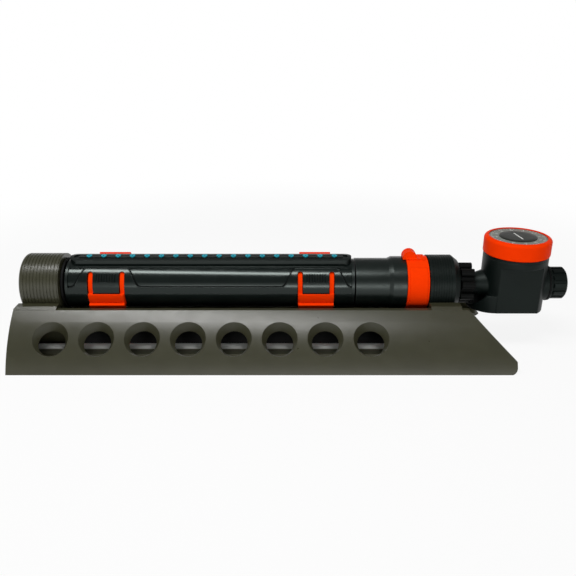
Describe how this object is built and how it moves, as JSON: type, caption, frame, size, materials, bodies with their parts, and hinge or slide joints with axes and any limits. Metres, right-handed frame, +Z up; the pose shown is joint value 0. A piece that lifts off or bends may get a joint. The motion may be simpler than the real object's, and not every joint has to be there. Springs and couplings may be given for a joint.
{
  "type": "oscillating lawn sprinkler",
  "caption": "Oscillating lawn sprinkler on a sled base: a geared nozzle tube swings between end caps, width sliders and a range ring set the spray, and a dial timer sits on the hose inlet.",
  "frame": {"origin": "middle of the bounding box on the ground plane", "axes": "+X along the nozzle tube towards the timer, +Z up, -Y to the front"},
  "size_m": [0.5702, 0.164, 0.118],
  "materials": {
    "olive_plastic": "fine satin texture",
    "black_plastic": "satin",
    "orange_plastic": "satin",
    "teal_rubber": "matt",
    "steel": "brushed",
    "black_rubber": "matt",
    "dial_grey": "satin",
    "filter_mesh": "woven",
    "gear_plastic": "smooth"
  },
  "bodies": {
    "base": {"front_skid": "olive_plastic", "rear_skid": "olive_plastic", "left_pedestal": "olive_plastic", "right_pedestal": "olive_plastic", "keel": "olive_plastic", "left_bearing_cap": "olive_plastic", "left_bush": "gear_plastic", "wiper_ring": "black_rubber", "drive_housing": "black_plastic", "gear_plate": "gear_plastic", "middle_plate": "gear_plastic", "jet_plate": "gear_plastic", "gear_pins": "steel", "inlet_cap": "black_plastic", "inlet_filter": "filter_mesh", "union_gasket": "black_rubber", "timer_body": "black_plastic", "timer_lid": "black_plastic", "timer_clockwork": "steel", "valve_seat": "black_rubber", "hose_washer": "black_rubber"},
    "spray_tube": {"water_pipe": "black_plastic", "upper_shell": "black_plastic", "lower_shell": "black_plastic", "nozzle_strip": "black_plastic", "nozzles": "teal_rubber", "output_gear": "gear_plastic"},
    "left_slider": {"left_width_slider": "orange_plastic"},
    "right_slider": {"right_width_slider": "orange_plastic"},
    "second_lay": {"second_lay_gear": "gear_plastic"},
    "idler": {"idler_gear": "gear_plastic"},
    "first_lay": {"first_lay_gear": "gear_plastic"},
    "turbine_wheel": {"turbine": "gear_plastic"},
    "reverser": {"reverser_flap": "gear_plastic"},
    "range_control": {"control_ring": "orange_plastic", "throttle_sleeve": "gear_plastic"},
    "union_nut": {"lobed_nut": "black_plastic"},
    "timer_dial": {"dial_ring": "orange_plastic", "dial_face": "dial_grey", "dial_spindle": "steel"},
    "timer_valve": {"valve_stem": "gear_plastic"},
    "inlet_nut": {"hose_nut": "black_plastic"}
  },
  "joints": [
    {"name": "tube_swing", "type": "hinge", "parent": "base", "child": "spray_tube", "pos_m": [0, 0, 0.066], "axis": [1, 0, 0], "range_deg": [-51, 39]},
    {"name": "left_width_slide", "type": "hinge", "parent": "spray_tube", "child": "left_slider", "pos_m": [0, 0, 0.066], "axis": [-1, 0, 0], "range_deg": [0, 45]},
    {"name": "right_width_slide", "type": "hinge", "parent": "spray_tube", "child": "right_slider", "pos_m": [0, 0, 0.066], "axis": [-1, 0, 0], "range_deg": [0, 45]},
    {"name": "second_lay_spin", "type": "hinge", "parent": "base", "child": "second_lay", "pos_m": [0, 0, 0.078], "axis": [1, 0, 0], "range_deg": [-78, 102]},
    {"name": "idler_spin", "type": "hinge", "parent": "base", "child": "idler", "pos_m": [0, 0, 0.066], "axis": [1, 0, 0], "range_deg": [-204, 156]},
    {"name": "first_lay_spin", "type": "hinge", "parent": "base", "child": "first_lay", "pos_m": [0, 0, 0.078], "axis": [1, 0, 0], "range_deg": [-312, 408]},
    {"name": "turbine_spin", "type": "hinge", "parent": "base", "child": "turbine_wheel", "pos_m": [0, 0, 0.066], "axis": [1, 0, 0], "range_deg": [-816, 624]},
    {"name": "reverser_flip", "type": "hinge", "parent": "base", "child": "reverser", "pos_m": [0, 0, 0.066], "axis": [1, 0, 0], "range_deg": [-12, 12]},
    {"name": "range_ring_turn", "type": "hinge", "parent": "base", "child": "range_control", "pos_m": [0, 0, 0.066], "axis": [1, 0, 0], "range_deg": [-30, 30]},
    {"name": "union_nut_turn", "type": "hinge", "parent": "base", "child": "union_nut", "pos_m": [0, 0, 0.066], "axis": [1, 0, 0], "continuous": true},
    {"name": "dial_turn", "type": "hinge", "parent": "base", "child": "timer_dial", "pos_m": [0.2323, 0, 0.1], "axis": [0, 0, 1], "range_deg": [-300, 0]},
    {"name": "valve_slide", "type": "slide", "parent": "base", "child": "timer_valve", "axis": [0, 0, 1], "range_m": [-0.002, 0], "stiffness_N_per_m": 400},
    {"name": "hose_nut_turn", "type": "hinge", "parent": "base", "child": "inlet_nut", "pos_m": [0, 0, 0.066], "axis": [1, 0, 0], "continuous": true}
  ],
  "couplings": [
    {"joint": "second_lay_spin", "follows": "tube_swing", "ratio": -2},
    {"joint": "idler_spin", "follows": "tube_swing", "ratio": 4},
    {"joint": "first_lay_spin", "follows": "tube_swing", "ratio": -8},
    {"joint": "turbine_spin", "follows": "tube_swing", "ratio": 16}
  ]
}
